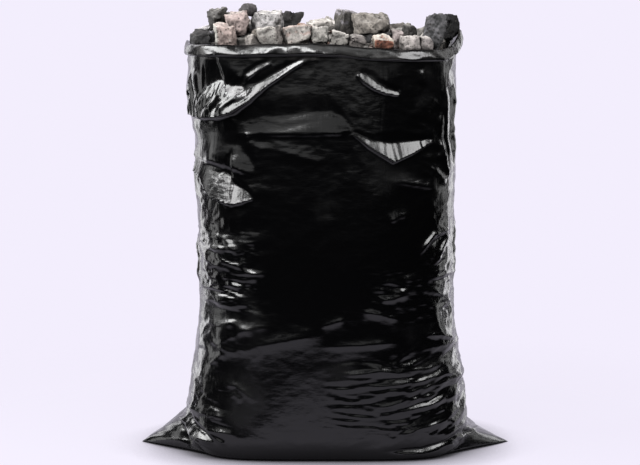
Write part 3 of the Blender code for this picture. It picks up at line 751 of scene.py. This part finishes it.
def broken(shape, settings, seed):
    """Rounds a stone's arrises and breaks its faces up, and returns how worn each vertex is."""
    cut_down(shape, STONE_SLACK * STONE_CELL, STONE_ROUNDS)
    before = [vertex.co.copy() for vertex in shape.verts]
    axes = dict.fromkeys(("use_axis_x", "use_axis_y", "use_axis_z"), True)
    bmesh.ops.smooth_vert(shape, verts=shape.verts[:], factor=STONE_SMOOTHING, **axes)
    shape.normal_update()
    wear, moves = [], []
    shift = Vector((seed * 0.37, seed * 0.11, seed * 0.23))
    for vertex, old in zip(shape.verts, before):
        spot = vertex.co + shift
        large, small, grit = (noise.noise(spot / size) for size in (LARGE_BREAK, SMALL_BREAK, GRIT))
        chip = 0.30 - abs(noise.noise(spot / LARGE_BREAK * 0.7 + Vector((9, 4, 2))))
        split = noise.voronoi(spot / SPLIT)[1][0]
        facet = (spot / SPLIT - split).dot(jog_at(split * 3.7) * 2)
        deep = 0.4 + 1.2 * large + 2.6 * facet + 0.8 * small + 0.4 * grit - 1.6 * max(chip, 0.0)
        moves.append(vertex.normal * deep * settings.breaking * MM)
        arris = (old - vertex.co).length / (ARRIS * STONE_CELL)
        wear.append(min(1.0, 0.5 * arris + max(0.0, 0.5 * small + 0.3 * grit)))
    for vertex, move in zip(shape.verts, moves):
        vertex.co += move
    return wear


def tints(shape, seed, colour, second, way, cover):
    """Each vertex's colour: the stone's, and a second one on the sides that face one way. On
    several stones that second colour is painted shade on sides away from the lamps, on two painted
    light.
    """
    way = Vector(way).normalized()
    shape.normal_update()
    found = []
    for vertex in shape.verts:
        patch = 0.25 * noise.noise(vertex.co / 0.009 + Vector((seed, 0, 0)))
        share = float(smooth_step((vertex.normal.dot(way) + patch - cover) / 0.2 + 0.5))
        mixed = [a + (b - a) * share for a, b in zip(colour, second)]
        tone = STONE_TONE * (1 + 0.2 * noise.noise(vertex.co / 0.012 + Vector((0, seed, 0))))
        found.append([channel * tone for channel in mixed] + [1.0])
    return found


def painted(thing, tint, wear):
    """Stores each vertex's colour and wear on the finished mesh, for its material."""
    layers = thing.data.attributes
    colours = layers.new("tint", "FLOAT_COLOR", "POINT")
    colours.data.foreach_set("color", np.array(tint, np.float32).ravel())
    layers.new("wear", "FLOAT", "POINT").data.foreach_set("value", np.array(wear, np.float32))
    return thing


def make_stones(settings):
    """Every loose stone of the heap, rough-broken, in the place of its CAD stone."""
    finishes = {kind: stone_material(kind, settings) for kind in KIND_COLOURS}
    names = [name for name in sorted(frame["nodes"]) if name[:-3] in KIND_COLOURS]
    for order, name in enumerate(names):
        kind = name[:-3]
        tone = random.Random(900 + order).uniform(0.75, 1.2)
        plain = tuple(channel * tone for channel in KIND_COLOURS[kind])
        shape = copied(name)
        if name in NESTLED:
            grown, *moved = NESTLED[name]
            middle = sum((vertex.co for vertex in shape.verts), Vector()) / len(shape.verts)
            for vertex in shape.verts:
                vertex.co = middle + (vertex.co - middle) * grown + Vector(moved) * MM
        wear = broken(shape, settings, order)
        # On some stones the second colour is painted shade, and on two it is painted light
        second = SECOND_FACES_AND_PAINTED_LIGHT.get(name, NO_SECOND)
        tint = tints(shape, order, STONE_COLOURS.get(name, plain), *second)
        stone = placed(f"{name}_rough", shape, finishes[kind], name, slot=kind)
        stone.data.shade_smooth()
        stone.data.set_sharp_from_angle(angle=STONE_SHARP)
        painted(stone, tint, wear)


def make_fill(settings):
    """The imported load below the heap, its top broken up like the stones on it."""
    shape = copied("packed_rubble")
    for vertex in shape.verts:
        x, y, z = vertex.co
        ease = FILL_EASE * float(smooth_step((FILL_EASE_TOP - z) / FILL_EASE_OVER))
        inward = ease / math.hypot(x, y)
        vertex.co = (x * (1 - inward), y * (1 - inward), z)
    top = max(vertex.co.z for vertex in shape.verts) - FILL_BROKEN
    cut_down(shape, FILL_CELL, FILL_ROUNDS, top - 1e-6)
    shape.normal_update()
    wear = []
    for vertex in shape.verts:
        spot = vertex.co
        grain = noise.noise(spot / 0.008) + 0.6 * noise.noise(spot / 0.0035)
        if spot.z > top + 0.002:
            vertex.co = spot + vertex.normal * FILL_GRAIN * (grain - 0.6)
        wear.append(min(1.0, max(0.0, 0.3 + 0.5 * grain)))
    # The load's colour is darkened to paint the shade in the gaps between the stones
    tint = [(*settings.fill_shade_colour, 1.0)] * len(shape.verts)
    finish = stone_material("fill", settings)
    made = placed("packed_fill", shape, finish, "packed_rubble", slot="fill")
    made.data.shade_smooth()
    made.data.set_sharp_from_angle(angle=FILL_SHARP)
    return painted(made, tint, wear)


def make_crumbs(settings, grounds):
    """Small broken bits in the gaps of the heap, each resting on what is below it."""
    points, faces = [], []
    for thing in grounds:
        start = len(points)
        points += [vertex.co[:] for vertex in thing.data.vertices]
        faces += [[start + index for index in face.vertices] for face in thing.data.polygons]
    tree = BVHTree.FromPolygons(points, faces)
    dice = random.Random(31)
    draw = dice.uniform
    shape = bmesh.new()
    tint, laid = [], 0
    for _ in range(settings.crumbs * CRUMB_TRIES):
        if laid >= settings.crumbs:
            break
        in_front = laid % FRONT_SHARE == 0
        widest, highest, growth = FRONT_CRUMBS if in_front else OTHER_CRUMBS
        angle = draw(-widest, widest)
        out = draw(0.78, 0.930) if in_front else math.sqrt(draw(0.02, 0.88))
        x, y, _, _ = section(np.array([angle]), np.array([0.53]))
        above = (float(x[0]) * out + FRAME_OFFSET[0], float(y[0]) * out + FRAME_OFFSET[1], 0.7)
        place, normal, _, _ = tree.ray_cast(Vector(above), Vector((0, 0, -1)))
        if place is None or normal.z < CRUMB_STEEPEST or place.z > highest:
            continue
        size = CRUMB_SMALLEST + growth * dice.random() ** 1.9
        turn = Matrix.Rotation(draw(0, 6.28), 4, "Z")
        turn = turn @ Matrix.Rotation(draw(0, 3.1), 4, "X")
        sides = [draw(*ends) for ends in ((0.7, 1.3), (0.6, 1.1), (0.45, 0.8))]
        at = Matrix.Translation(place + normal * size * 0.30) @ turn @ Matrix.Diagonal((*sides, 1))
        made = bmesh.ops.create_icosphere(shape, subdivisions=1, radius=size, matrix=at)
        kind = dice.choice(CRUMB_KINDS)
        tone = STONE_TONE * draw(0.7, 1.25)
        for vertex in made["verts"]:
            vertex.co += jog_at(vertex.co / 0.004) * size * 0.34
            tint.append([channel * tone for channel in KIND_COLOURS[kind]] + [1.0])
        laid += 1
    wear = [0.25] * len(shape.verts)
    thing = placed("crumbs", shape, stone_material("crumb", settings), slot="pale_lump")
    return painted(thing, tint, wear)


# ---- materials


class Wire:
    """An output of a node, which can be written in sums: each sum adds a Math node."""

    def __init__(self, bench, socket):
        self.bench, self.socket = bench, socket

    def maths(operation, swapped=False):
        """The method that adds one kind of Math node, with its two values swapped or not."""

        def method(self, other):
            values = {0: other, 1: self} if swapped else {0: self, 1: other}
            return self.bench.add("Math", values, operation=operation)

        return method

    __add__ = __radd__ = maths("ADD")
    __mul__ = __rmul__ = maths("MULTIPLY")
    __sub__, __rsub__ = maths("SUBTRACT"), maths("SUBTRACT", swapped=True)
    __pow__ = maths("POWER")

    def within(self, low, high):
        """0 up to low, 1 from high on, and smooth between."""
        values = {0: self, 1: low, 2: high}
        return self.bench.add("MapRange", values, interpolation_type="SMOOTHSTEP")


class Bench:
    """A node tree being built."""

    def __init__(self, tree):
        self.tree = tree
        tree.nodes.clear()

    def add(self, kind, values=None, output=0, **settings):
        """One node: its settings first, then its sockets' values or links. Returns an output."""
        node = self.tree.nodes.new(f"ShaderNode{kind}")
        for name, value in settings.items():
            setattr(node, name, value)
        for key, value in (values or {}).items():
            if isinstance(value, Wire):
                self.tree.links.new(value.socket, node.inputs[key])
            else:
                node.inputs[key].default_value = value
        return Wire(self, node.outputs[output])

    def mixed(self, share, first, second, blend_type="MIX"):
        """Two colours mixed, or blended in another way, by a share."""
        first, second = (end if isinstance(end, Wire) else (*end, 1.0) for end in (first, second))
        values = {0: share, 6: first, 7: second}
        return self.add("Mix", values, output=2, data_type="RGBA", blend_type=blend_type)

    def times(self, first, second):
        """Two colours multiplied."""
        return self.mixed(1.0, first, second, "MULTIPLY")

    def grey(self, value):
        """A colour with that value in all its channels."""
        return self.add("CombineColor", dict.fromkeys(range(3), value))

    def place(self, scale=(1, 1, 1), turn=(0, 0, 0)):
        """Object coordinates, stretched and turned."""
        spot = self.add("TexCoord", output="Object")
        return self.add("Mapping", {"Vector": spot, "Scale": scale, "Rotation": turn})

    def cloud(self, scale, detail=3.0, where=None, roughness=0.5):
        """Soft noise from 0 to 1."""
        values = {"Scale": scale, "Detail": detail, "Roughness": roughness}
        return self.add("TexNoise", {"Vector": where or self.place(), **values})

    def bump(self, height, strength, distance, normal=None):
        """A normal bent by a height, on top of one bent before."""
        values = {"Height": height, "Strength": strength, "Distance": distance}
        return self.add("Bump", {**values, "Normal": normal} if normal else values)

    def end(self, shader, kind="OutputMaterial"):
        """The tree's output."""
        node = self.tree.nodes.new(f"ShaderNode{kind}")
        self.tree.links.new(shader.socket, node.inputs["Surface"])


def new_bench(name):
    material = bpy.data.materials.new(name)
    material.use_nodes = True
    return material, Bench(material.node_tree)


def film_material(settings):
    """Glossy black film: fine ruckles, rubbed patches, stone dust near the mouth, and a grey hem
    that is partly a painted sheen.
    """
    material, bench = new_bench("glossy_black_film")
    fine = bench.cloud(260.0, 2.0, bench.place(scale=(0.35, 0.35, 1.0)))
    pinch = bench.cloud(95.0, 2.0, bench.place(scale=(0.55, 0.55, 1.0), turn=(0.25, 0.1, 0.0)))
    streaks = bench.cloud(300.0, 3.0, bench.place(scale=(1.0, 1.0, 0.07)))
    rubbed = bench.cloud(13.0, 4.0).within(0.52, 0.72)
    specks = bench.cloud(620.0, 2.0).within(0.66, 0.72)
    height = bench.add("SeparateXYZ", {0: bench.place()}, output=2)
    near_mouth = height.within(0.44, 0.55)
    smudges = bench.cloud(60.0, 5.0).within(0.55, 0.8)
    dust = specks * near_mouth * 0.012 + smudges * near_mouth * 0.004
    # The hem greys in patches: partly the milky doubled film, partly a painted grey sheen
    hem = height.within(0.5245, 0.5275) * (0.1 + bench.cloud(28.0, 3.0).within(0.45, 0.70))
    cover = dust + hem * settings.hem_haze_and_sheen
    colour = bench.mixed(cover, settings.film_colour, settings.dust_colour)
    roughness = settings.film_roughness + rubbed * 0.12 + dust * 0.5 + hem * 0.08
    bump = bench.bump(pinch, 0.28, 0.0010)
    bump = bench.bump(streaks, 0.25, 0.0010, bump)
    bump = bench.bump(fine, 0.20, 0.0006, bump)
    values = {"Base Color": colour, "Roughness": roughness, "IOR": 1.43, "Normal": bump}
    bench.end(bench.add("BsdfPrincipled", values))
    return material


# Finishes by kind: (scale of the grains, their contrast, roughness, share of the dust it holds)
STONE_GRAINS = {
    "grey_stone": (520.0, 0.30, 0.86, 0.45),
    "dark_stone": (420.0, 0.30, 0.66, 0.10),
    "pink_stone": (480.0, 0.22, 0.88, 0.60),
    "pale_lump": (600.0, 0.20, 0.93, 1.00),
    "brick_bit": (380.0, 0.24, 0.92, 0.60),
    "fill": (420.0, 0.40, 0.96, 0.30),
    "crumb": (500.0, 0.25, 0.92, 0.90),
}

# The colour of pits, how much paler arrises are, and the faint shine
PIT_COLOUR, ARRIS_PALENESS, STONE_SPECULAR = (0.02, 0.018, 0.016), (1.45, 1.43, 1.40), 0.14

# How far the painted shade in the gaps between the stones reaches
PAINTED_GAP_SHADE_REACH = 0.022


def stone_material(kind, settings):
    """Broken stone: its own colour with grains, blotches, pits, paler arrises and dust on top,
    darkened in the gaps between stones by painted shade.
    """
    material, bench = new_bench(f"{kind}_surface")
    scale, contrast, rough, dusty = STONE_GRAINS[kind]
    tint = bench.add("Attribute", output="Color", attribute_name="tint")
    wear = bench.add("Attribute", output="Fac", attribute_name="wear")
    grains = bench.cloud(scale * 0.6, 4.0, roughness=0.75)
    blotch = bench.cloud(95.0, 4.0, roughness=0.6)
    cells = bench.add("TexVoronoi", {"Vector": bench.place(), "Scale": scale * 0.42})
    pits = cells.within(0.12, 0.34)
    tone = 1.0 + (grains - 0.5) * (7.0 * contrast) + (blotch - 0.5) * 2.2
    colour = bench.times(tint, bench.grey(tone))
    colour = bench.mixed((1 - pits) * 0.7, colour, PIT_COLOUR)
    colour = bench.mixed(wear * 0.75, colour, bench.times(colour, ARRIS_PALENESS))
    normal = bench.add("NewGeometry", output="Normal")
    upward = bench.add("SeparateXYZ", {0: normal}, output=2).within(0.35, 0.95)
    dusted = upward * bench.cloud(140.0, 4.0).within(0.35, 0.65) * (settings.dust * dusty)
    colour = bench.mixed(dusted, colour, settings.dust_colour)
    bump = bench.bump(grains * 0.5 + blotch * 0.5 + pits * 0.35, 0.9, 0.0016)
    # Painted shade: the colour darkens where other surfaces are close, in the gaps between the
    # stones
    near = bench.add("AmbientOcclusion", {"Distance": PAINTED_GAP_SHADE_REACH}, output="AO", samples=6)
    colour = bench.times(colour, bench.grey(near**1.7 * 0.88 + 0.12))
    values = {"Base Color": colour, "Roughness": rough + (grains - 0.5) * 0.2, "Normal": bump}
    values["Specular IOR Level"] = STONE_SPECULAR
    bench.end(bench.add("BsdfPrincipled", values))
    return material


# ---- the studio

# The soft lights: (name, degrees round from the front to the right, degrees up, width, height,
# brightness, whether the film mirrors it), each facing the sack's middle.
PANELS = (
    ("left_rim", -134, 12, 0.40, 1.9, 3.4, True),
    ("left_side", -98, 13, 0.42, 1.9, 2.6, True),
    ("right_rim", 134, 12, 0.40, 1.9, 3.4, True),
    ("right_side", 110, 13, 0.30, 1.9, 2.4, True),
    ("left_key", -74, 34, 1.5, 0.8, 18.0, True),
    ("front_key", -22, 35, 0.8, 0.5, 30.0, True),
    ("right_key", 58, 34, 0.9, 0.7, 13.0, True),
    ("top_box", 0, 48, 2.2, 0.9, 2.0, True),
    ("low_front", -14, 17, 3.4, 0.5, 0.9, True),
    ("ceiling", 10, 76, 1.2, 1.0, 7.0, False),
)
PANEL_DISTANCE = 1.9
PANELS_FACE = Vector((0, 0, 0.30))

PAPER_COLOUR, PAPER_DEPTH = (0.03, 0.029, 0.032, 1.0), -0.0006
# How far the painted contact shadow on the floor's glow reaches
CONTACT_SHADOW = 0.08
CAMERA_ASIDE, SENSOR_WIDTH = -0.007, 36.0


def panel_light(name, round_it, up, width, height, brightness, mirrored, power):
    """A soft rectangular light that no camera sees, facing the sack's middle."""
    lamp = bpy.data.lights.new(name, "AREA")
    lamp.shape = "RECTANGLE"
    lamp.size, lamp.size_y = width, height
    lamp.energy = power * brightness * math.pi * width * height
    turn, tilt = math.radians(round_it), math.radians(up)
    level = math.cos(tilt)
    way = Vector((math.sin(turn) * level, -math.cos(turn) * level, math.sin(tilt)))
    made = linked(name, lamp)
    made.location = PANELS_FACE + PANEL_DISTANCE * way
    made.rotation_euler = way.to_track_quat("Z", "Y").to_euler()
    made.visible_camera = False
    made.visible_glossy = mirrored


def studio_world(settings):
    """A pale backdrop round the sack, and a dark room in front of it for its gloss."""
    world = bpy.data.worlds.new("studio")
    world.use_nodes = True
    bench = Bench(world.node_tree)
    way = bench.add("TexCoord", output="Generated")
    back = bench.add("SeparateXYZ", {0: way}, output=1).within(0.45, 0.95)
    gloss = bench.mixed(back, settings.room_colour, settings.backdrop_colour)
    glossy, camera = (
        bench.add("LightPath", output=f"Is {kind} Ray") for kind in ("Glossy", "Camera")
    )
    soft = bench.times(settings.backdrop_colour, (settings.fill_light,) * 3)
    seen = bench.mixed(glossy, soft, gloss)
    seen = bench.mixed(camera, seen, settings.backdrop_colour)
    background = bench.add("Background", {"Color": seen, "Strength": 1.0})
    bench.end(background, "OutputWorld")
    bpy.context.scene.world = world


def floor_material(settings):
    """Pale glowing paper that fades out into the backdrop away from the sack, its glow darkened
    near the sack as a painted contact shadow.
    """
    material, bench = new_bench("pale_floor_paper")
    spot = bench.add("VectorMath", {0: bench.place()}, output="Value", operation="LENGTH")
    fade = spot.within(settings.floor_reach * 0.45, settings.floor_reach)
    shadow = {"Distance": CONTACT_SHADOW}
    # Painted shadow: the floor's glow darkens where the sack and its corners are close
    open_air = bench.add("AmbientOcclusion", shadow, output="AO", samples=8)
    glow = bench.grey(open_air**2.2 * settings.floor_glow)
    values = {
        "Base Color": PAPER_COLOUR,
        "Roughness": 0.9,
        "Specular IOR Level": 0.0,
        "Emission Color": bench.times(settings.backdrop_colour, glow),
        "Emission Strength": 1.0,
    }
    paper = bench.add("BsdfPrincipled", values)
    clear = bench.add("BsdfTransparent")
    bench.end(bench.add("MixShader", {0: fade, 1: paper, 2: clear}))
    return material


def make_studio(settings):
    """The pale floor, the backdrop, the lights and the camera."""
    shape = bmesh.new()
    bmesh.ops.create_circle(shape, cap_ends=True, segments=96, radius=settings.floor_reach)
    for vertex in shape.verts:
        vertex.co.z = PAPER_DEPTH
    floor = shaped("floor", shape, floor_material(settings))
    studio_world(settings)
    for panel in PANELS:
        panel_light(*panel, settings.light_power)
    lens = bpy.data.cameras.new("camera")
    lens.lens = settings.lens
    lens.sensor_width = SENSOR_WIDTH
    camera = linked("camera", lens)
    camera.location = (CAMERA_ASIDE, -settings.camera_distance, settings.camera_height)
    camera.rotation_euler = (math.pi / 2 - settings.camera_dip, 0, 0)
    bpy.context.scene.camera = camera
    bpy.context.scene.view_settings.view_transform = "Standard"


# ---- settings, operators and panel


def colour_of(name, text, default):
    limits = {"size": 3, "min": 0.0, "max": 1.0, "subtype": "COLOR"}
    return FloatVectorProperty(name=name, description=text, default=default, **limits)


def amount_of(name, text, default, **more):
    return FloatProperty(name=name, description=text, default=default, **more)


def share_of(name, text, default):
    return amount_of(name, text, default, min=0, max=1, subtype="FACTOR")


class FilmSettings(bpy.types.PropertyGroup):
    fold_depth: amount_of(
        "Fold depth", "How deep the folds are, as a share of the real ones", 1.0, min=0
    )
    film_colour: colour_of("Film colour", "Colour of the film", (0.0004, 0.0004, 0.0005))
    film_roughness: share_of("Film roughness", "How dull the clean film is", 0.17)
    # How much the hem greys: partly milky doubled film, partly a painted sheen
    hem_haze_and_sheen: share_of("Hem haze", "How much the doubled hem greys", 0.035)
    # Also the colour of the hem's grey, which is partly a painted sheen
    dust_colour: colour_of(
        "Dust colour", "Colour of the stone dust on the film", (0.46, 0.43, 0.41)
    )


class HeapSettings(bpy.types.PropertyGroup):
    breaking: amount_of("Breaking", "How rough the broken faces of the stones are", 1.0, min=0)
    dust: share_of("Dust", "How much dust lies on the stones", 0.45)
    dust_colour: colour_of("Dust colour", "Colour of the dust on the stones", (0.52, 0.49, 0.46))
    # The packed load's colour, darkened as painted shade in the gaps between the stones
    fill_shade_colour: colour_of("Fill colour", "Colour of the packed load", (0.055, 0.042, 0.036))
    crumbs: IntProperty(
        name="Crumbs", description="How many small bits lie in the gaps", default=700, min=0
    )


class StudioSettings(bpy.types.PropertyGroup):
    backdrop_colour: colour_of(
        "Backdrop", "Colour of the backdrop and the floor", (0.896, 0.855, 0.982)
    )
    room_colour: colour_of(
        "Room", "What the film mirrors of the room in front", (0.002, 0.002, 0.002)
    )
    fill_light: amount_of("Fill light", "Strength of the light from all round", 0.20)
    floor_glow: amount_of("Floor glow", "How far the floor is lit from below", 0.915)
    floor_reach: amount_of("Floor reach", "Radius of the floor", 1.0, unit="LENGTH")
    light_power: amount_of("Lights", "Brightness of the soft lights", 1.0)
    lens: amount_of("Lens", "Focal length in millimetres", 116.55)
    camera_distance: amount_of("Camera distance", "From the sack's middle", 2.8, unit="LENGTH")
    camera_height: amount_of("Camera height", "Above the floor", 0.60, unit="LENGTH")
    camera_dip: amount_of(
        "Camera dip", "How far the camera looks down", math.radians(6.345), unit="ROTATION"
    )


class MakeFilm(bpy.types.Operator):
    """Make the black film sack"""

    bl_idname = "bin_bag.film"
    bl_label = "Film sack"

    def execute(self, context):
        film = make_film(context.scene.bag_film)
        return {"FINISHED"}


class MakeFill(bpy.types.Operator):
    """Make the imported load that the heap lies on"""

    bl_idname = "bin_bag.fill"
    bl_label = "Packed load"

    def execute(self, context):
        make_fill(context.scene.bag_heap)
        return {"FINISHED"}


class MakeStones(bpy.types.Operator):
    """Make the loose stones of the heap"""

    bl_idname = "bin_bag.stones"
    bl_label = "Stones"

    def execute(self, context):
        make_stones(context.scene.bag_heap)
        return {"FINISHED"}


class MakeCrumbs(bpy.types.Operator):
    """Make the small bits between the stones, which have to be there already"""

    bl_idname = "bin_bag.crumbs"
    bl_label = "Crumbs"

    def execute(self, context):
        grounds = [o for o in context.scene.objects if o.name.endswith(("_rough", "_fill"))]
        if not grounds:
            raise RuntimeError("make the packed load and the stones before the crumbs")
        make_crumbs(context.scene.bag_heap, grounds)
        return {"FINISHED"}


class MakeStudio(bpy.types.Operator):
    """Make the floor, the backdrop, the lights and the camera"""

    bl_idname = "bin_bag.studio"
    bl_label = "Studio"

    def execute(self, context):
        make_studio(context.scene.bag_studio)
        return {"FINISHED"}


OPERATORS = (MakeFilm, MakeFill, MakeStones, MakeCrumbs, MakeStudio)
GROUPS = {"bag_film": FilmSettings, "bag_heap": HeapSettings, "bag_studio": StudioSettings}


class BagPanel(bpy.types.Panel):
    bl_idname = "VIEW3D_PT_bin_bag"
    bl_label = "Full bin bag"
    bl_space_type = "VIEW_3D"
    bl_region_type = "UI"
    bl_category = "Bin bag"

    def draw(self, context):
        for operator in OPERATORS:
            self.layout.operator(operator.bl_idname)
        for group, kind in GROUPS.items():
            box = self.layout.box()
            for name in kind.__annotations__:
                box.prop(getattr(context.scene, group), name)


def register():
    for kind in (*GROUPS.values(), *OPERATORS, BagPanel):
        bpy.utils.register_class(kind)
    for group, kind in GROUPS.items():
        setattr(bpy.types.Scene, group, PointerProperty(type=kind))


def unregister():
    for group in GROUPS:
        delattr(bpy.types.Scene, group)
    for kind in (BagPanel, *reversed(OPERATORS), *reversed(GROUPS.values())):
        bpy.utils.unregister_class(kind)


def main():
    register()
    bpy.ops.bin_bag.film()
    bpy.ops.bin_bag.fill()
    bpy.ops.bin_bag.stones()
    bpy.ops.bin_bag.crumbs()
    bpy.ops.bin_bag.studio()


if __name__ == "__main__":
    main()
